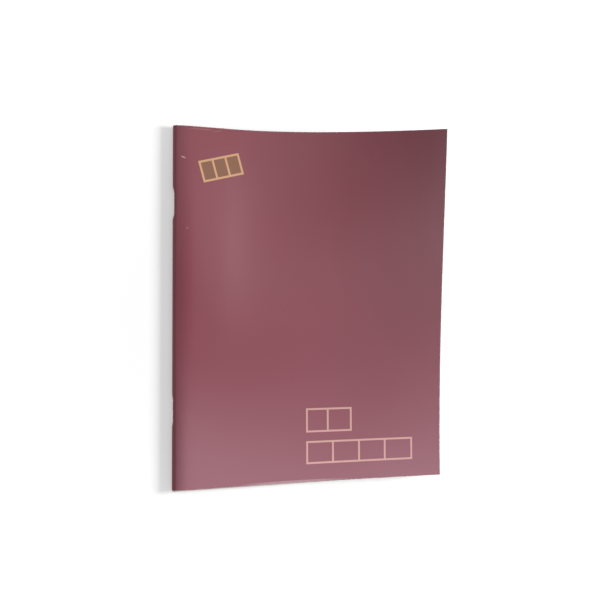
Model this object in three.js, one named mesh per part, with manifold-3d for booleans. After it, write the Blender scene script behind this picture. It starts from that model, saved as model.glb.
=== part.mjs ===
// Sales ledger book: a saddle-stitched book of folded sheets in a card cover.
// Millimetres, +Z up. The book lies closed on its back cover, spine at low x, head toward +Y.
import * as THREE from 'three';
import Module from 'manifold-3d';

const wasm = await Module();
wasm.setup();

// Driving sizes.
const BOOK_WIDTH = 210;
const BOOK_HEIGHT = 270;
const CARD = 0.25;
const PAPER = 0.1;
const SHEETS = 10;

// The nested folds: half the opening of the innermost fold, and the step from fold to fold.
const INNER_FOLD = 0.45;
const FOLD_STEP = 0.25;
const CARD_GAP = 0.06;

// Fold levels are measured from the middle of the spine to the middle of the paper.
const sheetLevel = (sheet) => INNER_FOLD + (SHEETS - sheet) * FOLD_STEP;
const CARD_LEVEL = sheetLevel(1) + PAPER / 2 + CARD_GAP + CARD / 2;
const HINGE_Z = CARD_LEVEL + CARD / 2;
const HINGE_X = HINGE_Z;

// Folds stay inside one radius about the hinge line, and everything that turns stays outside it.
const TURN_CLEARANCE = 0.3;
const FOLD_REACH = 3.7;
const TURN_START = FOLD_REACH + TURN_CLEARANCE;

// The sheets lie closer together at the fore edge than at the spine.
const LEAF_STEP_FORE = 0.15;
const FORE_CLEARANCE = 0.07;
const FORE_TRIM = 0.3;

// The sheets have slid a little toward the tail inside the cover.
const SLIP = 0.8;

// The front cover curls up from CURL_FROM of its width, most at the head.
const CURL_FROM = 0.2;
const CURL_LIFT = 18;
const CURL_POWER = 1.4;
const CURL_TILT = 1.9;
const CURL_BOW = 0.43;

// Staples, and the dent that each one pulls into the spine: deep at the head, shallow at the tail.
const WIRE = 0.5;
const CROWN = 13;
const CLINCH = 4.6;
const STAPLE_FROM_END = 58.3;
const HOLE = 0.74;
const WIRE_CLEARANCE = 0.03;
const DENT_HEAD = 1.3;
const DENT_TAIL = 0.55;
const DENT_FULL = CROWN / 2 + WIRE;
const DENT_FADE = 6;

const STAPLE_Y = BOOK_HEIGHT / 2 - STAPLE_FROM_END;
const DENTS = [[STAPLE_Y, DENT_HEAD], [-STAPLE_Y, DENT_TAIL]];

const maroon = new THREE.MeshStandardMaterial({ color: 0x7a3c46, roughness: 0.3, metalness: 0 });
const white = new THREE.MeshStandardMaterial({ color: 0xf1eee6, roughness: 0.85, metalness: 0 });
const steel = new THREE.MeshStandardMaterial({ color: 0xc9c8c6, roughness: 0.35, metalness: 1 });

/** Index of grid point (i, j) on one of the two faces of a slab. */
const at = (i, j, nv, base) => base + i * nv + j;

/**
 * A closed thin solid between two surfaces given as grids.
 * top[i][j] and under[i][j] are [x, y, z]; i runs along +x, j along +y.
 */
function slab(top, under) {
  const nu = top.length;
  const nv = top[0].length;
  const points = [...top.flat(), ...under.flat()].flat();
  const low = nu * nv;
  const faces = [];
  const quad = (a, b, c, d) => faces.push(a, b, c, a, c, d);
  for (let i = 0; i + 1 < nu; i++) {
    for (let j = 0; j + 1 < nv; j++) {
      quad(at(i, j, nv, 0), at(i + 1, j, nv, 0), at(i + 1, j + 1, nv, 0), at(i, j + 1, nv, 0));
      quad(at(i, j, nv, low), at(i, j + 1, nv, low), at(i + 1, j + 1, nv, low), at(i + 1, j, nv, low));
    }
  }
  for (let i = 0; i + 1 < nu; i++) {
    quad(at(i, 0, nv, low), at(i + 1, 0, nv, low), at(i + 1, 0, nv, 0), at(i, 0, nv, 0));
    const e = nv - 1;
    quad(at(i, e, nv, 0), at(i + 1, e, nv, 0), at(i + 1, e, nv, low), at(i, e, nv, low));
  }
  for (let j = 0; j + 1 < nv; j++) {
    quad(at(0, j + 1, nv, low), at(0, j, nv, low), at(0, j, nv, 0), at(0, j + 1, nv, 0));
    const e = nu - 1;
    quad(at(e, j, nv, low), at(e, j + 1, nv, low), at(e, j + 1, nv, 0), at(e, j, nv, 0));
  }
  const geometry = new THREE.BufferGeometry();
  geometry.setAttribute('position', new THREE.Float32BufferAttribute(points, 3));
  geometry.setIndex(faces);
  return geometry;
}

/** A geometry as a manifold solid, for joining and cutting. */
function solid(geometry) {
  const p = geometry.getAttribute('position').array;
  const mesh = new wasm.Mesh({
    numProp: 3,
    vertProperties: Float32Array.from(p),
    triVerts: Uint32Array.from(geometry.getIndex().array),
  });
  mesh.merge();
  return new wasm.Manifold(mesh);
}

/** A manifold solid back as a geometry. */
function geometryOf(manifold) {
  const mesh = manifold.getMesh();
  const geometry = new THREE.BufferGeometry();
  geometry.setAttribute('position', new THREE.Float32BufferAttribute(mesh.vertProperties, 3));
  geometry.setIndex(Array.from(mesh.triVerts));
  return geometry;
}

/** How far the spine is pushed in at height y: full over a staple, faded out beside it. */
function dent(y) {
  let depth = 0;
  for (const [centre, full] of DENTS) {
    const t = 1 - (Math.abs(y - centre) - DENT_FULL) / DENT_FADE;
    const s = THREE.MathUtils.clamp(t, 0, 1);
    depth = Math.max(depth, full * s * s * (3 - 2 * s));
  }
  return depth;
}

/** Share of the dent at distance dz from the middle of the spine: all there, none at the faces. */
const dentShare = (dz) => Math.max(0, 1 - (dz / HINGE_Z) ** 2) ** 2;

/** The heights at which a strip is sampled: close together where the dent fades. */
function stripHeights(low, high) {
  const steps = [-1, -0.5, 0].map((t) => t * DENT_FADE - DENT_FULL);
  const around = [...steps, ...steps.map((t) => -t).reverse()];
  const inner = DENTS.flatMap(([centre]) => around.map((t) => centre + t));
  return [low, ...inner.sort((a, b) => a - b), high];
}

/** Where a strip at a distance from the hinge line's plane meets the circle of a radius. */
const reach = (radius, level) => HINGE_X + Math.sqrt(radius ** 2 - level ** 2);

/**
 * A folded strip round the spine, seen from above as the left edge of a sheet.
 * Its section runs from the upper arm's end round a half circle to the lower arm's end.
 */
function foldedStrip(level, thickness, low, high, segments) {
  const heights = stripHeights(low, high);
  const end = reach(FOLD_REACH, level + thickness / 2);
  const side = (radius) => {
    const row = [heights.map((y) => [end, y, HINGE_Z + radius])];
    for (let k = 0; k <= segments; k++) {
      const turn = (Math.PI * k) / segments;
      const dx = -radius * Math.sin(turn);
      const dz = radius * Math.cos(turn);
      row.push(heights.map((y) => [HINGE_X + dx + dent(y) * dentShare(dz), y, HINGE_Z + dz]));
    }
    row.push(heights.map((y) => [end, y, HINGE_Z - radius]));
    return row;
  };
  return slab(side(level - thickness / 2), side(level + thickness / 2));
}

/** A strip with the holes that the staple legs go through. */
function pierced(geometry) {
  let body = solid(geometry);
  for (const [centre] of DENTS) {
    for (const leg of [-CROWN / 2, CROWN / 2]) {
      const drill = new THREE.CylinderGeometry(HOLE / 2, HOLE / 2, 12, 8);
      drill.rotateZ(Math.PI / 2);
      drill.translate(HINGE_X, centre + leg, HINGE_Z);
      body = body.subtract(solid(closed(drill)));
    }
  }
  return geometryOf(body);
}

/** A geometry with one point for each place, so that its faces share their corners. */
function closed(geometry) {
  const source = geometry.getAttribute('position');
  const seen = new Map();
  const points = [];
  const index = Array.from(geometry.getIndex().array, (i) => {
    const p = [source.getX(i), source.getY(i), source.getZ(i)];
    const key = p.map((c) => c.toFixed(5)).join();
    if (!seen.has(key)) {
      seen.set(key, points.length / 3);
      points.push(...p);
    }
    return seen.get(key);
  });
  const kept = [];
  for (let t = 0; t < index.length; t += 3) {
    const [a, b, c] = index.slice(t, t + 3);
    if (a !== b && b !== c && c !== a) kept.push(a, b, c);
  }
  const result = new THREE.BufferGeometry();
  result.setAttribute('position', new THREE.Float32BufferAttribute(points, 3));
  result.setIndex(kept);
  return result;
}

/** Level of leaf number n above the table at the fore edge. Leaf 1 is next to the front cover. */
const foreLevel = (n) => CARD + FORE_CLEARANCE + PAPER / 2 + (2 * SHEETS - n) * LEAF_STEP_FORE;

/** Level of leaf number n at the spine. */
function spineLevel(n) {
  const sheet = n <= SHEETS ? n : 2 * SHEETS + 1 - n;
  return HINGE_Z + (n <= SHEETS ? 1 : -1) * sheetLevel(sheet);
}

/** One leaf: a flat plate from just outside the fold to the fore edge. */
function leaf(n) {
  const level = Math.abs(spineLevel(n) - HINGE_Z);
  const start = reach(TURN_START, level - PAPER / 2);
  const end = BOOK_WIDTH - FORE_TRIM;
  const ys = [-BOOK_HEIGHT / 2, BOOK_HEIGHT / 2 - SLIP];
  const side = (offset) => [
    ys.map((y) => [start, y, spineLevel(n) + offset]),
    ys.map((y) => [end, y, foreLevel(n) + offset]),
  ];
  return slab(side(PAPER / 2), side(-PAPER / 2));
}

/** Where the front cover begins beside the spine. */
const COVER_START = reach(TURN_START, CARD_LEVEL - CARD / 2);

/** Level of the front cover's underside without its curl, at distance x from the spine. */
function coverBase(x) {
  const t = (x - COVER_START) / (BOOK_WIDTH - COVER_START);
  const spine = HINGE_Z + CARD_LEVEL - CARD / 2;
  const fore = foreLevel(1) + PAPER / 2 + CARD_GAP;
  return THREE.MathUtils.lerp(spine, fore, t);
}

/** How far the curl lifts the front cover at u of its width and v of its height, both 0 to 1. */
function curl(u, v) {
  const s = THREE.MathUtils.clamp((u - CURL_FROM) / (1 - CURL_FROM), 0, 1);
  const along = 1 + CURL_TILT * (v - 0.5) + CURL_BOW * 4 * (v - 0.5) ** 2;
  return CURL_LIFT * s ** CURL_POWER * along;
}

/** The front cover at height y as [x, z] points: a bent sheet that keeps its width. */
function coverSection(v, us) {
  const level = (u) => coverBase(u * BOOK_WIDTH) + curl(u, v);
  const section = [];
  let x = us[0] * BOOK_WIDTH;
  us.forEach((u, i) => {
    if (i > 0) {
      const run = (u - us[i - 1]) * BOOK_WIDTH;
      const rise = level(u) - level(us[i - 1]);
      x += Math.sqrt(run ** 2 - rise ** 2);
    }
    section.push([x, level(u)]);
  });
  return section;
}

/** The front cover: card that lies on the sheets near the spine and curls up at the fore edge. */
function frontCover() {
  const curled = Array.from({ length: 17 }, (_, k) => CURL_FROM + ((1 - CURL_FROM) * k) / 16);
  const us = [COVER_START / BOOK_WIDTH, CURL_FROM / 2, ...curled];
  const vs = Array.from({ length: 11 }, (_, k) => k / 10);
  const low = SLIP - BOOK_HEIGHT / 2;
  const high = BOOK_HEIGHT / 2;
  const sections = vs.map((v) => coverSection(v, us));
  const side = (offset) => us.map((_, i) => vs.map((v, j) => {
    const [x, z] = sections[j][i];
    return [x, THREE.MathUtils.lerp(low, high, v), z + offset];
  }));
  return slab(side(CARD), side(0));
}

/** The back cover: a flat board from the lower end of the spine to the fore edge. */
function backCover() {
  const start = reach(FOLD_REACH, CARD_LEVEL + CARD / 2);
  const heights = stripHeights(SLIP - BOOK_HEIGHT / 2, BOOK_HEIGHT / 2);
  const side = (z) => [start, BOOK_WIDTH].map((x) => heights.map((y) => [x, y, z]));
  return slab(side(CARD), side(0));
}

/** The line of a staple's wire in its own plane: crown, two legs and two clinched ends. */
function wireLine(crownX, clinchX) {
  const bend = WIRE * 0.9;
  const half = CROWN / 2;
  const corner = (cx, cy, from) => [0, 1, 2, 3].map((k) => {
    const a = from + (k * Math.PI) / 6;
    return [cx + bend * Math.cos(a), cy + bend * Math.sin(a)];
  });
  const lower = [
    [clinchX, CLINCH - half],
    ...corner(clinchX - bend, bend - half, 0).map(([x, y]) => [x, 2 * (bend - half) - y]),
    ...corner(crownX + bend, bend - half, Math.PI / 2).map(([x, y]) => [x, 2 * (bend - half) - y]),
  ];
  return [...lower, ...lower.map(([x, y]) => [x, -y]).reverse()];
}

/** A round wire along a line in the plane of z = 0. */
function wire(line, radius, sides) {
  const rings = line.map(([x, y], i) => {
    const a = line[Math.max(i - 1, 0)];
    const b = line[Math.min(i + 1, line.length - 1)];
    const run = new THREE.Vector2(b[0] - a[0], b[1] - a[1]).normalize();
    const ring = [];
    for (let k = 0; k < sides; k++) {
      const turn = (2 * Math.PI * k) / sides;
      const out = radius * Math.cos(turn);
      ring.push([x + run.y * out, y - run.x * out, radius * Math.sin(turn)]);
    }
    return ring;
  });
  const faces = [];
  for (let i = 0; i + 1 < rings.length; i++) {
    for (let k = 0; k < sides; k++) {
      const n = (k + 1) % sides;
      const [a, b] = [i * sides + k, i * sides + n];
      const [c, d] = [(i + 1) * sides + k, (i + 1) * sides + n];
      faces.push(a, d, b, a, c, d);
    }
  }
  const last = (rings.length - 1) * sides;
  for (let k = 1; k + 1 < sides; k++) {
    faces.push(0, k, k + 1);
    faces.push(last, last + k + 1, last + k);
  }
  const geometry = new THREE.BufferGeometry();
  geometry.setAttribute('position', new THREE.Float32BufferAttribute(rings.flat(2), 3));
  geometry.setIndex(faces);
  return geometry;
}

/** A staple, its crown in the dent outside the spine and its ends clinched inside the middle fold. */
function staple([y, depth]) {
  const crownX = depth - WIRE / 2 - WIRE_CLEARANCE;
  const inside = HINGE_X - (INNER_FOLD - PAPER / 2) + depth;
  const clinchX = inside + WIRE / 2 + WIRE_CLEARANCE;
  const geometry = wire(wireLine(crownX, clinchX), WIRE / 2, 8);
  geometry.translate(0, y, HINGE_Z);
  return geometry;
}

const book = new THREE.Group();
book.name = 'sales_ledger_book';
book.position.set(-BOOK_WIDTH / 2, 0, 0);

/** Adds a piece that stays with the back cover. */
function fixed(name, geometry, material) {
  const mesh = new THREE.Mesh(geometry, material);
  mesh.name = name;
  book.add(mesh);
}

/** Adds a piece that turns about the hinge line, in a group of its own there. */
function turning(name, geometry, material) {
  const hinge = new THREE.Group();
  hinge.name = `${name}_hinge`;
  hinge.position.set(HINGE_X, 0, HINGE_Z);
  geometry.translate(-HINGE_X, 0, -HINGE_Z);
  const mesh = new THREE.Mesh(geometry, material);
  mesh.name = name;
  hinge.add(mesh);
  book.add(hinge);
}

const two = (n) => String(n).padStart(2, '0');
const coverLow = SLIP - BOOK_HEIGHT / 2;
const spine = foldedStrip(CARD_LEVEL, CARD, coverLow, BOOK_HEIGHT / 2, 12);

fixed('back_cover', backCover(), maroon);
fixed('cover_spine', pierced(spine), maroon);
for (let sheet = 1; sheet <= SHEETS; sheet++) {
  const low = -BOOK_HEIGHT / 2;
  const strip = foldedStrip(sheetLevel(sheet), PAPER, low, BOOK_HEIGHT / 2 - SLIP, 6);
  fixed(`sheet_${two(sheet)}_fold`, pierced(strip), white);
}
fixed('staple_top', staple(DENTS[0]), steel);
fixed('staple_bottom', staple(DENTS[1]), steel);
for (let n = 1; n <= 2 * SHEETS; n++) turning(`leaf_${two(n)}`, leaf(n), white);
turning('front_cover', frontCover(), maroon);

export default book;
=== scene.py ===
# %% [markdown]
# # A sales ledger book
#
# This notebook dresses the plain model of a saddle-stitched ledger book. The real book is a stack
# of folded sheets inside one creased card, held by two wire staples through the fold.
#
# The plain model is made of rigid plates, because a physics program needs those. Paper bends, so
# here each sheet becomes one bent surface that runs round its fold, and so does the cover.

# %% Load the plain model
import math

import bpy
import numpy as np
from mathutils import Matrix, Vector


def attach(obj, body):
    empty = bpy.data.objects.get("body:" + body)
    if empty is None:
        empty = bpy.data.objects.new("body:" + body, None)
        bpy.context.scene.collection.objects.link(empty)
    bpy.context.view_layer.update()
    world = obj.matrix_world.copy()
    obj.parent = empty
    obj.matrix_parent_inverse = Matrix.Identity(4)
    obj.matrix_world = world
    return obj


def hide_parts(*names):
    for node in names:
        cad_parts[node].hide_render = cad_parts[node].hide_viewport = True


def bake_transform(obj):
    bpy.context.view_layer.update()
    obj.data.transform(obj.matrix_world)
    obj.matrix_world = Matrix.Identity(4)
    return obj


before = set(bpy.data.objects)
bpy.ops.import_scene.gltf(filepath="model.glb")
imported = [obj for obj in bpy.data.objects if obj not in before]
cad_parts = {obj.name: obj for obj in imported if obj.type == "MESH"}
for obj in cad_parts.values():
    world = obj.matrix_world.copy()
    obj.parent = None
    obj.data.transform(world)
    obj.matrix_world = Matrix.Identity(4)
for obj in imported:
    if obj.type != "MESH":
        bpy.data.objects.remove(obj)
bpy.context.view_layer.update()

# %% [markdown]
# ## Sizes
#
# All sizes are in metres and are the same as in the plain model. x is measured from the spine, so
# the book's frame is half a width further right. y runs from the tail to the head of the page.
#
# Cover and sheets are each a little shorter than the book and lie shifted by SLIP, the cover to
# the head and the sheets to the tail, so that a line of page edges shows there. The sheets end a
# trim short of the cover's fore edge. A turning leaf begins TURN_START away from the hinge line.

# %% Sizes of the book
MM = 0.001
WIDTH, HEIGHT = 210 * MM, 270 * MM
CARD, PAPER = 0.25 * MM, 0.1 * MM
SHEETS = 10
INNER_FOLD, FOLD_STEP = 0.45 * MM, 0.25 * MM
CARD_GAP = 0.06 * MM
SLIP = 0.8 * MM
FORE_TRIM = 0.3 * MM
LEAF_STEP_FORE, FORE_CLEARANCE = 0.15 * MM, 0.07 * MM
TURN_START = 4.0 * MM


def sheet_level(sheet):
    """Distance of a sheet from the middle of the spine: the inner fold plus one step a sheet."""
    return INNER_FOLD + (SHEETS - sheet) * FOLD_STEP


CARD_LEVEL = sheet_level(1) + PAPER / 2 + CARD_GAP + CARD / 2
HINGE_Z = CARD_LEVEL + CARD / 2
HINGE_X = HINGE_Z
LEFT = -WIDTH / 2
print(f"spine {2000 * HINGE_Z:.2f} mm thick, hinge at x {1000 * (LEFT + HINGE_X):.2f} mm")

# %% [markdown]
# ## The staples' dent
#
# Each staple is driven through the fold from outside and pulls the spine in. The dent is deepest
# under the crown and fades along the spine in a smooth step. Across the spine it fades to nothing
# at the two faces. Every sheet gets the same shift at the same level, so none passes through
# its neighbour.

# %% The dent in the spine
CROWN = 13 * MM
WIRE = 0.5 * MM
DENT_FADE = 6 * MM
DENTS = ((76.7 * MM, 1.3 * MM), (-76.7 * MM, 0.55 * MM))


def smooth(t):
    """A smooth step: 3 t squared minus 2 t cubed, with t held between 0 and 1."""
    t = np.clip(t, 0, 1)
    return t * t * (3 - 2 * t)


def dent(y, dz):
    """Shift toward +x: the depth, times a smooth step in y, times (1 - (dz / half spine)^2)^2."""
    depth = np.zeros_like(y)
    for centre, full in DENTS:
        beyond = np.abs(y - centre) - (CROWN / 2 + WIRE)
        depth = np.maximum(depth, full * smooth(1 - beyond / DENT_FADE))
    return depth * np.clip(1 - (dz / HINGE_Z) ** 2, 0, 1) ** 2


# How many grid lines run along the whole book, and how many more near each dent.
EVEN_LINES, DENT_LINES = 41, 19
DENT_REACH = 14 * MM
LEAST_STEP = 0.9 * MM


def rows(low, high):
    """
    Heights for the grid lines: even steps from low to high, and about 1.5 mm a step near a dent.
    A line closer than the least step to the one below it is left out.
    """
    even = np.linspace(low, high, EVEN_LINES)
    near = [np.linspace(c - DENT_REACH, c + DENT_REACH, DENT_LINES) for c, _ in DENTS]
    ys = np.unique(np.round(np.concatenate([even] + near), 6))
    keep = np.concatenate([[True], np.diff(ys) > LEAST_STEP])
    keep[-1] = True
    return ys[keep]


print("grid lines along the book:", len(rows(-HEIGHT / 2, HEIGHT / 2)))

# %% [markdown]
# ## Thin sheets as surfaces
#
# A sheet of paper or card is a surface with a thickness. One way is a flat grid with a Solidify
# modifier. Here both faces are worked out instead, from a middle surface and its normals, because
# the sheet later bends at the spine and its UV map has to stay with it. The UV map is in metres:
# u runs across the page from the spine, v up it, so a ruled line can be given in real sizes.

# %% A mesh object
def new_piece(name, points, faces, places, materials):
    """A mesh object from points, faces, a place on the UV map for each point, and materials."""
    mesh = bpy.data.meshes.new(name)
    mesh.from_pydata(points.tolist(), [], faces)
    layer = mesh.uv_layers.new(name="UVMap")
    corners = [point for face in faces for point in face]
    layer.data.foreach_set("uv", places[corners].astype(np.float32).ravel())
    for material in materials:
        mesh.materials.append(material)
    mesh.update()
    piece = bpy.data.objects.new(name, mesh)
    bpy.context.scene.collection.objects.link(piece)
    return piece


# %% A thin closed solid round a middle surface
# An edge between two faces is shaded sharp where they meet at more than this many degrees.
RIM_ANGLE = 50


def normals(points):
    """Unit normals of a grid of points: the cross product of its two directions of travel."""
    across = np.gradient(points, axis=0)
    along = np.gradient(points, axis=1)
    normal = np.cross(across, along)
    return normal / np.linalg.norm(normal, axis=2, keepdims=True)


def thin_solid(name, middle, uv, thickness, materials):
    """
    A closed sheet: the middle surface moved half a thickness along its normals, up and down.
    The rim joins the two. Material 0 is on the upper face, 1 on the lower face, 2 on the rim.
    """
    half = normals(middle) * thickness / 2
    points = np.concatenate([(middle + half).reshape(-1, 3), (middle - half).reshape(-1, 3)])
    count = middle.shape[0] * middle.shape[1]
    index = np.arange(count).reshape(middle.shape[:2])
    a, b = index[:-1, :-1].ravel(), index[1:, :-1].ravel()
    c, d = index[1:, 1:].ravel(), index[:-1, 1:].ravel()
    up = np.stack([a, b, c, d], 1)
    down = np.stack([a, d, c, b], 1) + count
    edge = np.concatenate([index[:, 0], index[-1, 1:], index[-2::-1, -1], index[0, -2::-1]])
    here, there = edge[:-1], edge[1:]
    rim = np.stack([here + count, there + count, there, here], 1)
    faces = np.concatenate([up, down, rim]).tolist()
    places = np.concatenate([uv.reshape(-1, 2), uv.reshape(-1, 2)])
    piece = new_piece(name, points, faces, places, materials)
    slot = np.repeat([0, 1, 2], [len(up), len(down), len(rim)])
    piece.data.polygons.foreach_set("material_index", slot.astype(np.int32))
    piece.data.polygons.foreach_set("use_smooth", slot < 2)
    piece.data.update()
    piece.data.set_sharp_from_angle(angle=math.radians(RIM_ANGLE))
    return piece


# %% [markdown]
# ## Materials
#
# The cover is card printed maroon, under a clear film. Its gloss is soft, so a lamp shows in it as
# a wide pale cloud, and a faint second gloss lies over that. Two bumps stand for the unevenness of
# the card: a fine one in the first gloss and a wide one in the second. Shade is painted into the
# colour: it is darker along the fold and toward the fore edge at the head, where the cover turns
# away from the light. The very edge is worn pale, and a pale line along the tail is a painted
# highlight.

# %% Helpers for materials
def new_material(name):
    """A material with an empty node tree, its Principled shader and its node list."""
    material = bpy.data.materials.new(name)
    material.use_nodes = True
    nodes = material.node_tree.nodes
    return material, nodes, nodes["Principled BSDF"], material.node_tree.links


def math_node(nodes, links, kind, a, b=None, clamp=False):
    """One arithmetic step; a and b are sockets or plain numbers."""
    node = nodes.new("ShaderNodeMath")
    node.operation = kind
    node.use_clamp = clamp
    for socket, value in zip(node.inputs, (a, b)):
        if value is None:
            continue
        if isinstance(value, (int, float)):
            socket.default_value = value
        else:
            links.new(value, socket)
    return node.outputs[0]


NOISE_ROUGHNESS = 0.6


def noise(nodes, links, vector, scale, detail):
    """A cloud pattern between 0 and 1; scale is in waves a metre, detail adds finer waves."""
    node = nodes.new("ShaderNodeTexNoise")
    node.inputs["Scale"].default_value = scale
    node.inputs["Detail"].default_value = detail
    node.inputs["Roughness"].default_value = NOISE_ROUGHNESS
    links.new(vector, node.inputs["Vector"])
    return node.outputs["Fac"]


def ramp(nodes, links, value, low, high, to_low=0.0, to_high=1.0):
    """A smooth step from to_low to to_high, as the value goes from low to high."""
    node = nodes.new("ShaderNodeMapRange")
    node.interpolation_type = "SMOOTHSTEP"
    node.inputs["From Min"].default_value = low
    node.inputs["From Max"].default_value = high
    node.inputs["To Min"].default_value = to_low
    node.inputs["To Max"].default_value = to_high
    links.new(value, node.inputs["Value"])
    return node.outputs["Result"]


def mix(nodes, links, factor, a, b):
    """A colour mix: a where the factor is 0, b where it is 1; both are colours or sockets."""
    node = nodes.new("ShaderNodeMix")
    node.data_type = "RGBA"
    links.new(factor, node.inputs["Factor"])
    for socket, value in ((node.inputs["A"], a), (node.inputs["B"], b)):
        if isinstance(value, tuple):
            socket.default_value = value
        else:
            links.new(value, socket)
    return node.outputs["Result"]


def bump(nodes, links, height, strength, distance):
    """A bump from a height pattern, in metres at full strength."""
    node = nodes.new("ShaderNodeBump")
    node.inputs["Strength"].default_value = strength
    node.inputs["Distance"].default_value = distance
    links.new(height, node.inputs["Height"])
    return node.outputs["Normal"]


def uv_of(nodes, links):
    """The UV map as a vector and as its two parts."""
    node = nodes.new("ShaderNodeUVMap")
    node.uv_map = "UVMap"
    parts = nodes.new("ShaderNodeSeparateXYZ")
    links.new(node.outputs["UV"], parts.inputs["Vector"])
    return node.outputs["UV"], parts.outputs["X"], parts.outputs["Y"]


# %% Colours and marks of the laminate
MAROON = (0.211, 0.0104, 0.032, 1)
MAROON_DEEP = (0.156, 0.0064, 0.0224, 1)
CARD_WHITE = (0.72, 0.66, 0.62, 1)
# Pale colour of the scuffs and creases, also used for the painted highlight along the tail.
SCUFF_AND_HIGHLIGHT = (0.50, 0.29, 0.30, 1)
# How the colour darkens: the fore, head and fold ramps paint shade toward the fore edge at the head
# and along the fold, and the cloud ramps give a random mottle and the roughness. Each ramp: from,
# to, and the two values it goes between.
PAINTED_FORE_SHADE = (100 * MM, 210 * MM, 0, 1)
PAINTED_HEAD_SHADE = (-100 * MM, 30 * MM, 0.15, 0.75)
PAINTED_FOLD_SHADE = (4 * MM, 13 * MM, 0.55, 0)
CLOUD_DARK = (0.1, 0.9, 0.12, 0)
CLOUD_ROUGHNESS = (0.1, 0.9, 0.285, 0.32)
# How the edge wears: full at the edge and gone 0.8 mm in, broken up where the fine noise is low.
EDGE_WORN = (0, 0.8 * MM, 1, 0)
WORN_BREAKS = (0.5, 0.62, 0, 1)
# Each mark: its centre and half size in millimetres on the flat card, its turn in degrees and its
# strength. They are a scuff, two creases, a speck and a pale line at the tail, which is a painted
# highlight along the tail edge.
MARKS = [
    ((7.6, 110.6), (2.6, 0.9), -20, 0.9),
    ((21, 132.6), (13, 0.5), -1, 0.28),
    ((33, 131.9), (5, 0.5), 14, 0.22),
    ((10.6, 57.5), (1.2, 0.6), 0, 0.5),
    # Painted highlight: a pale line along the tail edge.
    ((92, -133.6), (52, 1.3), 0, 0.6),
]
print("marks on the cover:", len(MARKS))


# %% The maroon laminate
def edge_distance(nodes, links, u, v):
    """Distance to the nearest free edge of the cover: the fore edge, the head or the tail."""
    fore = math_node(nodes, links, "SUBTRACT", WIDTH, math_node(nodes, links, "ABSOLUTE", u))
    half = (HEIGHT - SLIP) / 2
    end = math_node(nodes, links, "SUBTRACT", half, math_node(nodes, links, "ABSOLUTE", v))
    return math_node(nodes, links, "MINIMUM", fore, end)


def streak(nodes, links, uv, centre, size, turn):
    """A soft mark: 1 in the middle of a turned ellipse of a given half size, 0 outside it."""
    place = nodes.new("ShaderNodeMapping")
    place.vector_type = "TEXTURE"
    place.inputs["Location"].default_value = (*centre, 0)
    place.inputs["Rotation"].default_value = (0, 0, math.radians(turn))
    place.inputs["Scale"].default_value = (*size, 1)
    links.new(uv, place.inputs["Vector"])
    far = nodes.new("ShaderNodeVectorMath")
    far.operation = "LENGTH"
    links.new(place.outputs["Vector"], far.inputs[0])
    return ramp(nodes, links, far.outputs["Value"], 0.3, 1.0, to_low=1, to_high=0)


def laminate():
    """
    Maroon under clear film: mottled print with painted shade along the fold and toward the fore
    edge at the head, pale worn edges, and the marks, the last of them a painted highlight along
    the tail. u is used without its sign, so that the back cover, whose u is negative, has the same
    print and painted shade but none of the marks, which all lie at positive u.
    """
    material, nodes, shader, links = new_material("maroon_laminate")
    uv, u, v = uv_of(nodes, links)
    cloud = noise(nodes, links, uv, scale=14, detail=1)
    across = math_node(nodes, links, "ABSOLUTE", u)
    # Painted shade: the colour darkens toward the fore edge, most at the head, and along the fold, where
    # the cover turns away from the light. The cloud adds a random mottle.
    toward_head = ramp(nodes, links, v, *PAINTED_HEAD_SHADE)
    fore_shade_ramp = ramp(nodes, links, across, *PAINTED_FORE_SHADE)
    fore = math_node(nodes, links, "MULTIPLY", fore_shade_ramp, toward_head)
    fold = ramp(nodes, links, across, *PAINTED_FOLD_SHADE)
    painted_shade_and_mottle = math_node(nodes, links, "MAXIMUM", fore, fold)
    mottle = ramp(nodes, links, cloud, *CLOUD_DARK)
    painted_shade_and_mottle = math_node(nodes, links, "ADD", painted_shade_and_mottle, mottle, clamp=True)
    colour = mix(nodes, links, painted_shade_and_mottle, MAROON, MAROON_DEEP)
    near = ramp(nodes, links, edge_distance(nodes, links, u, v), *EDGE_WORN)
    breaks = ramp(nodes, links, noise(nodes, links, uv, scale=900, detail=2), *WORN_BREAKS)
    worn = math_node(nodes, links, "MULTIPLY", near, breaks)
    colour = mix(nodes, links, worn, colour, CARD_WHITE)
    # The marks are painted in the pale colour; the last of them is a painted highlight along the tail.
    for centre, size, turn, share in MARKS:
        mark = streak(nodes, links, uv, [c * MM for c in centre], [c * MM for c in size], turn)
        colour = mix(nodes, links, math_node(nodes, links, "MULTIPLY", mark, share), colour, SCUFF_AND_HIGHLIGHT)
    links.new(colour, shader.inputs["Base Color"])
    links.new(ramp(nodes, links, cloud, *CLOUD_ROUGHNESS), shader.inputs["Roughness"])
    shader.inputs["Specular IOR Level"].default_value = 0.53
    shader.inputs["Coat Weight"].default_value = 0.05
    shader.inputs["Coat Roughness"].default_value = 0.2
    fine = noise(nodes, links, uv, scale=1400, detail=2)
    fine = bump(nodes, links, fine, strength=0.35, distance=0.03 * MM)
    links.new(fine, shader.inputs["Normal"])
    wide = noise(nodes, links, uv, scale=55, detail=3)
    wide = bump(nodes, links, wide, strength=0.5, distance=0.2 * MM)
    links.new(wide, shader.inputs["Coat Normal"])
    return material


# %% Bare card and the cover's finishes
CARD_INSIDE = (0.80, 0.77, 0.72, 1)
CARD_EDGE = (0.34, 0.24, 0.23, 1)
FIBRE_SHADE = 0.9


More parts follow.
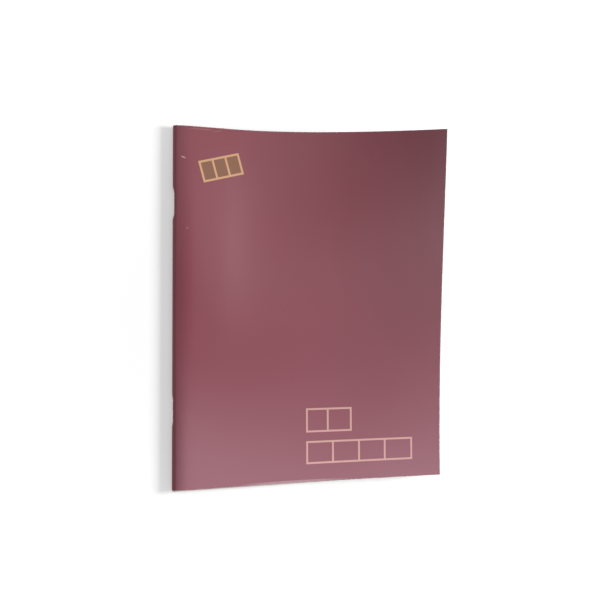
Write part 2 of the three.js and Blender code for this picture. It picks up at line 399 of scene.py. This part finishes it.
def card_core(name, colour):
    """Uncoated card or paper: its colour, and a shade of it in the low parts of the fibre."""
    material, nodes, shader, links = new_material(name)
    uv, _, _ = uv_of(nodes, links)
    fibre = noise(nodes, links, uv, scale=2500, detail=3)
    low = tuple(FIBRE_SHADE * part for part in colour[:3]) + (1,)
    links.new(mix(nodes, links, fibre, low, colour), shader.inputs["Base Color"])
    shader.inputs["Roughness"].default_value = 0.8
    relief = bump(nodes, links, fibre, strength=0.3, distance=0.03 * MM)
    links.new(relief, shader.inputs["Normal"])
    return material


COVER_FACES = [laminate(), card_core("card_inside", CARD_INSIDE), card_core("card_edge", CARD_EDGE)]
print("cover finishes:", [m.name for m in COVER_FACES])

# %% [markdown]
# ## Ledger paper
#
# The sheets are ruled: rows 7 mm apart, upright rules for the money columns, and a double rule
# under the heading. The rules could be a picture laid on the page. Here they are worked out from
# the UV map, which is in metres, so each has its real place and width and stays sharp close by.
# A rule is a mask that is 1 within half its width of a given line.

# %% Colours and places of the rules
PAPER_WHITE = (0.80, 0.78, 0.72, 1)
PAPER_LOW = (0.75, 0.73, 0.67, 1)
ROW_BLUE = (0.36, 0.47, 0.58, 1)
RULE_RED = (0.55, 0.24, 0.24, 1)
PAPER_EDGE = (0.80, 0.78, 0.73, 1)
ROW_PITCH = 7 * MM
ROW_START = -200 * MM
# The widths of the lines, and where they begin and end on the page.
ROW_LINE, COLUMN_LINE, HEAD_LINE = 0.22 * MM, 0.28 * MM, 0.3 * MM
PAGE_LEFT, PAGE_RIGHT = 14 * MM, 203 * MM
PAGE_FOOT, ROWS_TOP, PAGE_TOP = -122 * MM, 104 * MM, 116 * MM
# Places of the upright rules and of the rules round the heading, in millimetres.
COLUMNS = (14, 34, 52, 108, 128, 148, 168, 188)
HEADING = (104, 105.2, 116)
print("upright rules:", len(COLUMNS), "rules at the heading:", len(HEADING))


# %% The ruled paper


def line_at(nodes, links, value, place, width):
    """1 where value is within half a width of place, else 0."""
    off = math_node(nodes, links, "ABSOLUTE", math_node(nodes, links, "SUBTRACT", value, place))
    return math_node(nodes, links, "LESS_THAN", off, width / 2)


def largest(nodes, links, masks):
    """The largest of several masks."""
    total = masks[0]
    for mask in masks[1:]:
        total = math_node(nodes, links, "MAXIMUM", total, mask)
    return total


def between(nodes, links, value, low, high):
    """1 where value lies between low and high, else 0."""
    above = math_node(nodes, links, "GREATER_THAN", value, low)
    below = math_node(nodes, links, "LESS_THAN", value, high)
    return math_node(nodes, links, "MULTIPLY", above, below)


def ruled_paper():
    """Off-white paper with pale blue rows, red column rules and a double rule under the heading."""
    material, nodes, shader, links = new_material("ruled_paper")
    uv, u, v = uv_of(nodes, links)
    fibre = noise(nodes, links, uv, scale=1800, detail=4)
    colour = mix(nodes, links, fibre, PAPER_LOW, PAPER_WHITE)
    shifted = math_node(nodes, links, "SUBTRACT", v, ROW_START)
    step = math_node(nodes, links, "MODULO", shifted, ROW_PITCH)
    row = line_at(nodes, links, step, ROW_PITCH / 2, ROW_LINE)
    body = between(nodes, links, v, PAGE_FOOT, ROWS_TOP)
    page = between(nodes, links, u, PAGE_LEFT, PAGE_RIGHT)
    ruled = math_node(nodes, links, "MULTIPLY", row, body)
    ruled = math_node(nodes, links, "MULTIPLY", ruled, page)
    colour = mix(nodes, links, ruled, colour, ROW_BLUE)
    uprights = [line_at(nodes, links, u, x * MM, COLUMN_LINE) for x in COLUMNS]
    uprights = largest(nodes, links, uprights)
    tall = between(nodes, links, v, PAGE_FOOT, PAGE_TOP)
    uprights = math_node(nodes, links, "MULTIPLY", uprights, tall)
    heads = largest(nodes, links, [line_at(nodes, links, v, y * MM, HEAD_LINE) for y in HEADING])
    heads = math_node(nodes, links, "MULTIPLY", heads, page)
    colour = mix(nodes, links, largest(nodes, links, [uprights, heads]), colour, RULE_RED)
    links.new(colour, shader.inputs["Base Color"])
    shader.inputs["Roughness"].default_value = 0.78
    shader.inputs["Specular IOR Level"].default_value = 0.3
    relief = bump(nodes, links, fibre, strength=0.25, distance=0.03 * MM)
    links.new(relief, shader.inputs["Normal"])
    return material


PAGE = ruled_paper()
PAGE_FACES = [PAGE, PAGE, card_core("paper_edge", PAPER_EDGE)]
print("page finishes:", [m.name for m in PAGE_FACES])

# %% [markdown]
# ## The cover
#
# The front cover and the spine are one piece of card. Its section runs round the spine as a half
# circle and then out over the sheets, and the fore edge has curled up, most at the head. A Simple
# Deform modifier could bend a flat sheet, but only evenly. Here the level is worked out for every
# point, so that the curl can differ from head to tail. A sheet that curls keeps its width, so each
# short run across the page is shortened by what it rises.

# %% Shape of the front cover
# The curl: the share of the width where it starts, its height halfway up the fore edge, and its
# power. TILT makes it grow toward the head and BOW toward both ends; EASE rounds its start.
CURL_FROM, CURL_LIFT, CURL_POWER = 0.2, 18 * MM, 1.4
CURL_TILT, CURL_BOW = 1.9, 0.43
CURL_EASE = 0.1
# The shoulder: its height, its width, and the angle in radians by which the spine's arc stops
# short to meet it. It fades out from one share of the cover's width on, over another share.
SHOULDER, SHOULDER_WIDE, SHOULDER_TILT = 0.9 * MM, 13 * MM, 0.14
SHOULDER_FADES, FADE_WIDE = 0.15, 0.5
COVER_START = HINGE_X + math.sqrt(TURN_START**2 - (CARD_LEVEL - CARD / 2) ** 2)


def fore_level(leaf):
    """Level of a leaf's middle at the fore edge, leaf 1 on top."""
    return CARD + FORE_CLEARANCE + PAPER / 2 + (2 * SHEETS - leaf) * LEAF_STEP_FORE


def cover_level(u, v):
    """
    Level of the cover's middle at share u of its width and v of its height: a straight fall from
    the spine to the fore edge, plus the curl, which is a power of the way from where it starts.
    The curl sets in gently, by a rounded corner in place of a sharp one. Beside the spine the
    folds push the card up into a low shoulder, steepest at the spine, which fades out across the
    cover.
    """
    t = (u * WIDTH - COVER_START) / (WIDTH - COVER_START)
    fore = fore_level(1) + PAPER / 2 + CARD_GAP + CARD / 2
    base = HINGE_Z + CARD_LEVEL + (fore - HINGE_Z - CARD_LEVEL) * np.clip(t, 0, 1)
    s = np.clip((u - CURL_FROM) / (1 - CURL_FROM), 0, 1)
    s = (np.sqrt(s**2 + CURL_EASE**2) - CURL_EASE) / (math.sqrt(1 + CURL_EASE**2) - CURL_EASE)
    along = 1 + CURL_TILT * (v - 0.5) + CURL_BOW * 4 * (v - 0.5) ** 2
    r = np.clip((u * WIDTH - HINGE_X) / SHOULDER_WIDE, 0, 1)
    shoulder = SHOULDER * r * (2 - r) * (1 - smooth((u - SHOULDER_FADES) / FADE_WIDE))
    return base + shoulder + CURL_LIFT * s**CURL_POWER * along


def cover_grid(us, ys):
    """The cover's middle surface for shares us across and heights ys, and its UV map in metres."""
    low = SLIP - HEIGHT / 2
    u, y = np.meshgrid(us, ys, indexing="ij")
    v = (y - low) / (HEIGHT / 2 - low)
    z = cover_level(u, v)
    run, rise = np.diff(u, axis=0) * WIDTH, np.diff(z, axis=0)
    x = np.concatenate([u[:1] * WIDTH, np.sqrt(run**2 - rise**2)]).cumsum(axis=0)
    return np.stack([x + LEFT, y, z], 2), np.stack([u * WIDTH, y - SLIP / 2], 2)


def fold_grid(level, ys, steps, short=0):
    """
    A half circle of a given radius about the hinge line, from its lowest point round the left to
    its highest or short of it by an angle, pushed in by the dent. u is the distance along it, and
    a whole half circle's u ends at the hinge's x.
    """
    turn, y = np.meshgrid(np.linspace(0, math.pi - short, steps), ys, indexing="ij")
    dz = -level * np.cos(turn)
    x = HINGE_X - level * np.sin(turn) + dent(y, dz)
    u = HINGE_X - (math.pi - turn) * level
    return np.stack([x + LEFT, y, dz + HINGE_Z], 2), np.stack([u, y - SLIP / 2], 2)


def joined(first, second):
    """Two grids, one after the other, as one surface with one UV map."""
    return tuple(np.concatenate(pair) for pair in zip(first, second))


# %% Make the front cover
# The head edge stays a little short, because a curled card's thickness leans out past it.
HEAD_INSET = 0.04 * MM
COVER_YS = rows(SLIP - HEIGHT / 2, HEIGHT / 2 - HEAD_INSET)
FLAT_LINES, CURLED_LINES, ROUND_LINES = 22, 61, 21
flat_part = np.linspace((HINGE_X + 1 * MM) / WIDTH, CURL_FROM, FLAT_LINES)
curled_part = np.linspace(CURL_FROM, 1, CURLED_LINES)[1:]
round_spine = fold_grid(CARD_LEVEL, COVER_YS, ROUND_LINES, short=SHOULDER_TILT)
middle, uv = joined(round_spine, cover_grid(np.concatenate([flat_part, curled_part]), COVER_YS))
cover_front = thin_solid("cover_front", middle, uv, CARD, COVER_FACES)
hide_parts("front_cover", "cover_spine")
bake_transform(cover_front)
print("front cover:", len(cover_front.data.polygons), "faces")

# %% [markdown]
# ## The back cover
#
# The back half of the card lies flat on the table. Its printed side faces down, so the plain white
# inside is the upper face here and the laminate the lower one. It could be one surface with the
# front cover, but it stays on the table while that turns, so it is a piece of its own. Its u is
# counted the other way from the spine, so the front cover's marks aren't repeated on it.

# %% Make the back cover
BACK_LINES = 41
xs, ys = np.meshgrid(np.linspace(HINGE_X, WIDTH, BACK_LINES), COVER_YS, indexing="ij")
middle = np.stack([xs + LEFT, ys, np.full_like(xs, CARD / 2)], 2)
uv = np.stack([-xs, ys - SLIP / 2], 2)
outside, inside, cut = COVER_FACES
cover_back = thin_solid("cover_back", middle, uv, CARD, [inside, outside, cut])
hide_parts("back_cover")
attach(cover_back, "back")
print("back cover:", len(cover_back.data.polygons), "faces")

# %% [markdown]
# ## The sheets
#
# Each sheet is folded once, so its front leaf runs round the fold and its back leaf starts under
# it. The front leaf turns with the cover and the back leaf stays low, so they are two pieces that
# meet at the bottom of the fold. Paper that has been handled isn't flat: the top leaves lift a
# little toward the head corner of the fore edge, each less than the one above it.

# %% Shape of a leaf
PAGE_YS = rows(-HEIGHT / 2, HEIGHT / 2 - SLIP)
# Grid lines across a leaf: close together beside the fold, where it bends, and wider beyond.
BENT_PART = np.linspace(HINGE_X + 0.7 * MM, HINGE_X + 9 * MM, 8)
FLAT_PART = np.linspace(HINGE_X + 15 * MM, WIDTH - FORE_TRIM, 26)
PAGE_XS = np.concatenate([BENT_PART, FLAT_PART])
FOLD_LINES = 13
# The lift: the top leaf's, how many leaves have one, and the power by which it fades. It starts
# at one share of the width and grows over another. At the tail it is this share of the head's.
LEAF_LIFT, LIFTED_LEAVES, LIFT_POWER = 2.4 * MM, 9, 1.5
LIFT_FROM, LIFT_WIDE = 0.45, 0.6
TAIL_SHARE = 0.55


def leaf_grid(leaf, level, xs, ys):
    """
    A leaf's middle surface: a straight fall from its level at the spine to its level at the fore
    edge, plus a lift. The lift is a smooth step across the page, times a share that grows evenly
    from the tail to the head, times a power of the leaf's place in the stack.
    """
    x, y = np.meshgrid(xs, ys, indexing="ij")
    start = HINGE_X + TURN_START
    t = np.clip((x - start) / (WIDTH - FORE_TRIM - start), 0, 1)
    z = level + (fore_level(leaf) - level) * t
    toward_head = TAIL_SHARE + (1 - TAIL_SHARE) * (y / HEIGHT + 0.5)
    corner = smooth((x / WIDTH - LIFT_FROM) / LIFT_WIDE) * toward_head
    lift = LEAF_LIFT * max(0.0, 1 - (leaf - 1) / LIFTED_LEAVES) ** LIFT_POWER
    return np.stack([x + LEFT, y, z + lift * corner], 2), np.stack([x, y + SLIP / 2], 2)


# %% Make the sheets
for sheet in range(1, SHEETS + 1):
    level = sheet_level(sheet)
    front, back = sheet, 2 * SHEETS + 1 - sheet
    fold = fold_grid(level, PAGE_YS, FOLD_LINES)
    middle, uv = joined(fold, leaf_grid(front, HINGE_Z + level, PAGE_XS, PAGE_YS))
    piece = thin_solid(f"sheet_{sheet:02d}_front", middle, uv, PAPER, PAGE_FACES)
    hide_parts(f"leaf_{front:02d}", f"sheet_{sheet:02d}_fold")
    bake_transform(piece)
    middle, uv = leaf_grid(back, HINGE_Z - level, np.concatenate([[HINGE_X], PAGE_XS]), PAGE_YS)
    piece = thin_solid(f"sheet_{sheet:02d}_back", middle, uv, PAPER, PAGE_FACES)
    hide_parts(f"leaf_{back:02d}")
    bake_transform(piece)
print("sheets:", SHEETS, "leaves:", 2 * SHEETS)

# %% [markdown]
# ## The staples
#
# A saddle staple is a length of round steel wire. Its crown lies in the dent outside the spine, its
# legs go through every sheet, and its ends are bent over inside the middle fold. The wire is a
# circle carried along a flat line with rounded bends. A bevelled curve would give the same tube,
# but worked out as a mesh it has a UV map along the wire, which its fine lines follow.

# %% The bright wire
# Both steel colours carry a faint pink tint, a painted reflection of the maroon cover.
STEEL, STEEL_DULL = (0.82, 0.77, 0.75, 1), (0.62, 0.58, 0.57, 1)
# The noise is drawn out along the wire by this share of the wire's length in its UV map.
LINE_STRETCH = 0.2
BEND = 0.9 * WIRE
CLINCH = 4.6 * MM
WIRE_SIDES = 16
WIRE_CLEARANCE = 0.03 * MM


def bright_wire():
    """Galvanised steel wire: fine lines along the wire and a little dulling."""
    material, nodes, shader, links = new_material("bright_wire")
    uv, _, _ = uv_of(nodes, links)
    lines = noise(nodes, links, uv, scale=3000, detail=3)
    links.new(mix(nodes, links, lines, STEEL_DULL, STEEL), shader.inputs["Base Color"])
    shader.inputs["Metallic"].default_value = 1.0
    roughness = ramp(nodes, links, lines, 0.3, 0.7, to_low=0.22, to_high=0.36)
    links.new(roughness, shader.inputs["Roughness"])
    relief = bump(nodes, links, lines, strength=0.2, distance=0.02 * MM)
    links.new(relief, shader.inputs["Normal"])
    return material


WIRE_FINISH = bright_wire()
print("wire finish:", WIRE_FINISH.name)


# %% The staple's wire
def staple_line(crown_x, clinch_x):
    """
    The wire's middle line: straight runs joined by quarter circles, whose radius is 0.9 of the
    wire's thickness. It starts at one clinched end and is the same on both sides of its middle.
    """
    half = CROWN / 2
    turn = np.linspace(0, math.pi / 2, 7)
    inner = np.stack([clinch_x - BEND + BEND * np.cos(turn), half - BEND + BEND * np.sin(turn)], 1)
    outer = np.stack([crown_x + BEND - BEND * np.sin(turn), half - BEND + BEND * np.cos(turn)], 1)
    side = np.concatenate([[[clinch_x, half - CLINCH]], inner, outer])
    return np.concatenate([side, (side * [1, -1])[::-1]])


def wire_along(name, line, centre_y, level):
    """A tube: at each point a circle across the line, closed at both ends by a flat cap."""
    run = np.gradient(line, axis=0)
    run /= np.linalg.norm(run, axis=1, keepdims=True)
    turn = np.linspace(0, 2 * math.pi, WIRE_SIDES, endpoint=False)
    out = WIRE / 2 * np.cos(turn)
    x = line[:, :1] + run[:, 1:] * out
    y = line[:, 1:] - run[:, :1] * out + centre_y
    z = np.broadcast_to(level + WIRE / 2 * np.sin(turn), x.shape)
    points = np.stack([x + LEFT, y, z], 2).reshape(-1, 3)
    index = np.arange(len(points)).reshape(len(line), WIRE_SIDES)
    beside = np.roll(index, -1, axis=1)
    walls = np.stack([index[:-1], index[1:], beside[1:], beside[:-1]], 2).reshape(-1, 4)
    faces = walls[:, ::-1].tolist() + [index[0].tolist(), index[-1][::-1].tolist()]
    length = np.concatenate([[0], np.linalg.norm(np.diff(line, axis=0), axis=1).cumsum()])
    places = np.broadcast_arrays(length[:, None] * LINE_STRETCH, turn * WIRE / 2)
    piece = new_piece(name, points, faces, np.stack(places, 2).reshape(-1, 2), [WIRE_FINISH])
    piece.data.polygons.foreach_set("use_smooth", np.ones(len(faces), bool))
    piece.data.update()
    return piece


# %% Make the staples
for name, (centre, depth) in zip(("staple_top", "staple_bottom"), DENTS):
    crown_x = depth - WIRE / 2 - WIRE_CLEARANCE
    clinch_x = HINGE_X - (INNER_FOLD - PAPER / 2) + depth + WIRE / 2 + WIRE_CLEARANCE
    piece = wire_along(f"{name}_wire", staple_line(crown_x, clinch_x), centre, HINGE_Z)
    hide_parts(name)
    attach(piece, "back")
print("staples:", len(DENTS), "with a crown of", round(CROWN / MM), "mm")

# %% [markdown]
# ## Foil stamping
#
# Metal foil is pressed onto the cover: a small slanted grid in yellow gold with bronze cells at the
# upper left, and an empty table of two rows in rose gold at the lower right. Each bar is a thin
# strip laid on the curved cover. The bars could be masks in the laminate, but foil has an edge and
# a shine of its own, so it is made as a layer. Its points are worked out flat, in distances across
# and up the cover, and then placed on it.

# %% The foil
def foil(name, low, high):
    """Matt metal foil with a fine grain and small breaks in the shine."""
    material, nodes, shader, links = new_material(name)
    uv, _, _ = uv_of(nodes, links)
    grain = noise(nodes, links, uv, scale=1500, detail=3)
    links.new(mix(nodes, links, grain, low, high), shader.inputs["Base Color"])
    shader.inputs["Metallic"].default_value = 0.35
    roughness = ramp(nodes, links, grain, 0.3, 0.7, to_low=0.38, to_high=0.5)
    links.new(roughness, shader.inputs["Roughness"])
    relief = bump(nodes, links, grain, strength=0.3, distance=0.02 * MM)
    links.new(relief, shader.inputs["Normal"])
    return material


FOIL_YELLOW = foil("gold_foil", (0.428, 0.230, 0.118, 1), (0.586, 0.350, 0.178, 1))
FOIL_ROSE = foil("rose_foil", (0.356, 0.182, 0.158, 1), (0.487, 0.278, 0.240, 1))
FOIL_DEEP = foil("bronze_foil", (0.155, 0.065, 0.036, 1), (0.232, 0.108, 0.058, 1))
print("foils:", FOIL_YELLOW.name, FOIL_ROSE.name, FOIL_DEEP.name)

# %% A point on the curved cover
SECTION_STEPS = 240
# The cover's normal is found from places this share of its width and height further on.
NUDGE = 0.002


def on_cover(across, up, lift):
    """Points above the cover's upper face, at distances across from the spine and up the page."""
    low = SLIP - HEIGHT / 2
    us = np.linspace(COVER_START / WIDTH, 1, SECTION_STEPS)
    v = (up - low) / (HEIGHT / 2 - low)

    def place(du, dv):
        """
        Position on the middle surface for shares shifted by du and dv: z is the cover's level
        there, and x is the sum of the section's steps, each shortened by what it rises.
        """
        shares_across = np.clip(across / WIDTH + du, us[0], 1).ravel()
        shares_up = (v + dv).ravel()
        levels = cover_level(us[:, None], shares_up[None])
        steps = np.sqrt((np.diff(us)[:, None] * WIDTH) ** 2 - np.diff(levels, axis=0) ** 2)
        sums = np.concatenate([np.full((1, levels.shape[1]), COVER_START), steps]).cumsum(axis=0)
        along = (shares_across - us[0]) / (us[1] - us[0])
        before = np.clip(along.astype(int), 0, len(us) - 2)
        column = np.arange(levels.shape[1])
        rest = along - before
        x = sums[before, column] * (1 - rest) + sums[before + 1, column] * rest
        z = cover_level(shares_across, shares_up)
        y = low + shares_up * (HEIGHT / 2 - low)
        return np.stack([x + LEFT, y, z], 1)

    here = place(0, 0)
    normal = np.cross(place(NUDGE, 0) - here, place(0, NUDGE) - here)
    normal /= np.linalg.norm(normal, axis=1, keepdims=True)
    return (here + normal * (CARD / 2 + lift)).reshape(*across.shape, 3)


# %% A bar of foil
FOIL_THICK, FOIL_GAP = 0.02 * MM, 0.005 * MM
BAR_STEP = 3 * MM


def foil_bar(a, b, width):
    """Grid of points for a bar from a to b on the flat cover; all three are in millimetres."""
    a, b = np.array(a) * MM, np.array(b) * MM
    length = np.linalg.norm(b - a)
    run = (b - a) / length
    side = np.array([-run[1], run[0]])
    count = max(2, int(length / BAR_STEP) + 1)
    t = np.linspace(0, 1, count)[:, None, None]
    offset = np.array([-0.5, 0.5])[None, :, None] * width * MM
    return a + (b - a) * t + side * offset


def foil_piece(name, bars, material):
    """
    All bars of one ornament as one mesh of closed thin strips on the cover. A bar has pairs of
    points along its top, then the same pairs along its underside.
    """
    points, faces, places, base = [], [], [], 0
    for bar in bars:
        top = on_cover(bar[..., 0], bar[..., 1], FOIL_GAP + FOIL_THICK)
        low = on_cover(bar[..., 0], bar[..., 1], FOIL_GAP)
        points += [top.reshape(-1, 3), low.reshape(-1, 3)]
        places += [bar.reshape(-1, 2)] * 2
        pairs = bar.shape[0]
        under = 2 * pairs
        i = np.arange(pairs - 1) * 2 + base
        faces += np.stack([i, i + 2, i + 3, i + 1], 1).tolist()
        faces += (np.stack([i + 1, i + 3, i + 2, i], 1) + under).tolist()
        faces += np.stack([i + under, i + 2 + under, i + 2, i], 1).tolist()
        faces += np.stack([i + 1, i + 3, i + 3 + under, i + 1 + under], 1).tolist()
        last = base + 2 * (pairs - 1)
        faces.append([base, base + 1, base + 1 + under, base + under])
        faces.append([last + under, last + 1 + under, last + 1, last])
        base += 4 * pairs
    piece = new_piece(name, np.concatenate(points), faces, np.concatenate(places), [material])
    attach(piece, "front_cover")
    return piece


# %% Stamp the two ornaments
# Widths of the bars and the cells' gap, in millimetres on the flat cover.
EMBLEM_BAR, TABLE_BAR, CELL_GAP = 1.6, 1.4, 1.0
EMBLEM_SLANT = 15


def turned(x0, y0, across, up, slant):
    """A point that lies across and up from a corner, after a turn by slant degrees about it."""
    cosine, sine = math.cos(math.radians(slant)), math.sin(math.radians(slant))
    return (x0 + across * cosine - up * sine, y0 + across * sine + up * cosine)


def framed(x0, y0, x1, y1, columns, width, slant=0.0):
    """A box of foil bars with inner upright bars; slant turns it by degrees about its corner."""
    half, wide, tall = width / 2, x1 - x0, y1 - y0
    bars = []
    for up in (0, tall):
        ends = [turned(x0, y0, across, up, slant) for across in (-half, wide + half)]
        bars.append(foil_bar(*ends, width))
    for x in (x0, *columns, x1):
        ends = [turned(x0, y0, x - x0, up, slant) for up in (half, tall - half)]
        bars.append(foil_bar(*ends, width))
    return bars


def filled(x0, y0, x1, y1, columns, gap, slant):
    """A solid bar in each cell of a framed box, a gap short of the middle lines of its frame."""
    edges, mid = (x0, *columns, x1), (y1 - y0) / 2
    bars = []
    for left, right in zip(edges, edges[1:]):
        ends = [turned(x0, y0, x - x0, mid, slant) for x in (left + gap, right - gap)]
        bars.append(foil_bar(*ends, 2 * (mid - gap)))
    return bars


# Each box: left, foot, right and top, then its inner upright bars.
EMBLEM = (23.3, 93.5, 53.3, 108.5, (33.3, 43.3))
UPPER_ROW = (101.5, -96, 136.5, -79, (118,))
LOWER_ROW = (101.5, -120, 186, -104, (122, 143, 164))
foil_piece("foil_emblem", framed(*EMBLEM, EMBLEM_BAR, EMBLEM_SLANT), FOIL_YELLOW)
foil_piece("foil_emblem_cells", filled(*EMBLEM, CELL_GAP, EMBLEM_SLANT), FOIL_DEEP)
table_rows = framed(*UPPER_ROW, TABLE_BAR) + framed(*LOWER_ROW, TABLE_BAR)
foil_piece("foil_table", table_rows, FOIL_ROSE)
print("bars in the table:", len(table_rows))

# %% [markdown]
# ## Camera, floor and light
#
# The photograph looks almost straight down on the cover, from over its left half. The floor is
# plain and pale, and lies a tenth of a millimetre under the book so that the two faces don't
# coincide. To the camera it is lifted to white, and it still takes the book's shadow.
#
# A large lamp low on the fore side gives the shadow beside the spine. The pale clouds on the cover
# are what its gloss mirrors, so they come from four cards that only glossy surfaces show.

# %% Camera
# The camera's three directions and its place, found by bringing the cover's outline to where the
# photograph shows it.
RIGHT = (0.965898, -0.007070, 0.258825)
UP = (-0.006566, 0.998637, 0.051780)
BACK = (-0.258838, -0.051713, 0.964535)
EYE = (-0.13820, -0.02106, 0.49073)
# The camera's distance from its picture, and the picture's width, both in picture points.
FOCAL_POINTS, PICTURE_POINTS = 650, 600
camera_data = bpy.data.cameras.new("camera")
camera_data.sensor_width = 36
camera_data.lens = FOCAL_POINTS / PICTURE_POINTS * camera_data.sensor_width
camera_data.clip_start = 0.01
camera = bpy.data.objects.new("camera", camera_data)
bpy.context.scene.collection.objects.link(camera)
camera.matrix_world = Matrix([[RIGHT[i], UP[i], BACK[i], EYE[i]] for i in range(3)] + [[0, 0, 0, 1]])
bpy.context.scene.camera = camera
print(f"camera {1000 * EYE[2]:.0f} mm above the table, lens {camera_data.lens:.0f} mm")

# %% Floor and world
FLOOR_GREY = (0.85, 0.85, 0.85, 1)
FLOOR_HALF = 6.0
FLOOR_DROP = 0.1 * MM
# The floor's glow: from and to, in metres from the middle of the book, and its two strengths.
GLOW = (0.12, 0.5, 0.325, 1.0)
AMBIENT = 0.41


def floor_material():
    """
    Pale diffuse floor. A camera or glossy ray also sees a glow, which brings the lit floor to
    white and grows with distance, where the key lamp no longer reaches.
    """
    material, nodes, shader, links = new_material("floor")
    nodes.remove(shader)
    output = nodes["Material Output"]
    matt = nodes.new("ShaderNodeBsdfDiffuse")
    matt.inputs["Color"].default_value = FLOOR_GREY
    glow = nodes.new("ShaderNodeEmission")
    path = nodes.new("ShaderNodeLightPath")
    add = nodes.new("ShaderNodeAddShader")
    place = nodes.new("ShaderNodeNewGeometry")
    away = nodes.new("ShaderNodeVectorMath")
    away.operation = "LENGTH"
    links.new(place.outputs["Position"], away.inputs[0])
    level = ramp(nodes, links, away.outputs["Value"], *GLOW)
    seen = math_node(nodes, links, "MAXIMUM", path.outputs["Is Camera Ray"], path.outputs["Is Glossy Ray"])
    links.new(math_node(nodes, links, "MULTIPLY", seen, level), glow.inputs["Strength"])
    links.new(matt.outputs[0], add.inputs[0])
    links.new(glow.outputs[0], add.inputs[1])
    links.new(add.outputs[0], output.inputs["Surface"])
    return material


plate = bpy.data.meshes.new("floor")
signs = ((-1, -1), (1, -1), (1, 1), (-1, 1))
corners = [(FLOOR_HALF * x, FLOOR_HALF * y, -FLOOR_DROP) for x, y in signs]
plate.from_pydata(corners, [], [(0, 1, 2, 3)])
plate.materials.append(floor_material())
floor = bpy.data.objects.new("floor", plate)
bpy.context.scene.collection.objects.link(floor)

world = bpy.data.worlds.new("studio")
bpy.context.scene.world = world
world.use_nodes = True
nodes, links = world.node_tree.nodes, world.node_tree.links
path = nodes.new("ShaderNodeLightPath")
seen = math_node(nodes, links, "MAXIMUM", path.outputs["Is Camera Ray"], path.outputs["Is Glossy Ray"])
seen = math_node(nodes, links, "MAXIMUM", seen, path.outputs["Is Transmission Ray"])
# Full white where it is seen, and the ambient strength where it only lights the scene.
extra = math_node(nodes, links, "MULTIPLY", seen, 1 - AMBIENT)
strength = math_node(nodes, links, "ADD", extra, AMBIENT)
links.new(strength, nodes["Background"].inputs["Strength"])
nodes["Background"].inputs["Color"].default_value = (1, 1, 1, 1)
print("floor and world:", floor.name, world.name)

# %% Lamps
NEUTRAL, COOL = (1, 1, 1), (1, 0.95, 1.06)


def area_lamp(name, place, target, size, watts, tint=NEUTRAL, card=False):
    """
    A soft rectangular lamp at a place, turned to face a target, with a tint for its light. A lamp
    lights the scene and isn't mirrored in it. A card is the other way round: it only shows in
    glossy surfaces.
    """
    data = bpy.data.lights.new(name, "AREA")
    data.shape = "RECTANGLE"
    data.size, data.size_y = size
    data.energy = watts
    data.color = tint
    lamp = bpy.data.objects.new(name, data)
    lamp.location = place
    aim = Vector(target) - Vector(place)
    lamp.rotation_euler = aim.to_track_quat("-Z", "Y").to_euler()
    lamp.visible_camera = False
    lamp.visible_diffuse = not card
    lamp.visible_glossy = card
    bpy.context.scene.collection.objects.link(lamp)


area_lamp("key", place=(1.972, 0.138, 0.964), target=(0, 0, 0), size=(0.59, 0.59), watts=49.4)
# Each card looks straight down from one metre: its place, its size, its watts and its tint.
CARD_HEIGHT = 1.0
CARDS = {
    "middle_card": ((0.23, 0.19), (0.19, 0.34), 1.2, NEUTRAL),
    "head_card": ((-0.07, 0.60), (0.44, 0.73), 1.35, NEUTRAL),
    "tail_card": ((0, -0.78), (0.42, 1.2), 6.2, COOL),
    "corner_card": ((0.45, -0.56), (0.36, 0.36), 3.7, COOL),
}
for name, ((x, y), size, watts, tint) in CARDS.items():
    area_lamp(name, (x, y, CARD_HEIGHT), (x, y, 0), size, watts, tint, card=True)
bpy.context.scene.view_settings.view_transform = "Standard"
print("lamps: 1 key,", len(CARDS), "cards")
